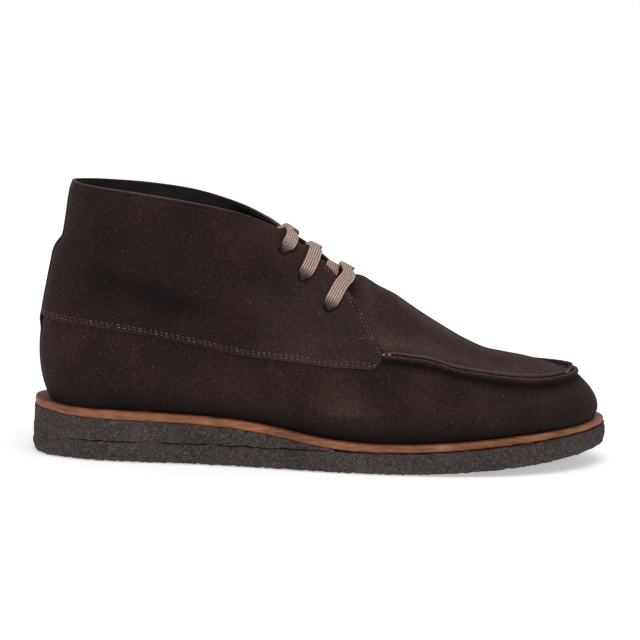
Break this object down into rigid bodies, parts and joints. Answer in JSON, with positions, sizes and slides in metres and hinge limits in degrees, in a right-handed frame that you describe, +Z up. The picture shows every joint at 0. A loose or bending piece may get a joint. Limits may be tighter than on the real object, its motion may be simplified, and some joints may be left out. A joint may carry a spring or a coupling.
{
  "type": "ankle boot",
  "caption": "Moccasin-toe suede ankle boot for the right foot, with a front lacing, a leather midsole and a layered crepe sole.",
  "frame": {"origin": "on the floor, under the middle of the boot's whole box", "axes": "+X points from the heel to the toe, +Y towards the inner (big-toe) side, +Z up"},
  "size_m": [0.301, 0.108, 0.1425],
  "materials": {
    "crepe": "matt, coarse crepe",
    "tan_leather": "smooth cut edge",
    "lining_leather": "smooth, matt",
    "suede": "brushed nap",
    "cotton": "flat woven"
  },
  "bodies": {
    "root": {"outsole": "crepe", "heel_wedge": "crepe", "midsole": "tan_leather", "insole": "lining_leather", "upper": "suede", "tongue": "suede", "lace": "cotton"}
  },
  "joints": []
}
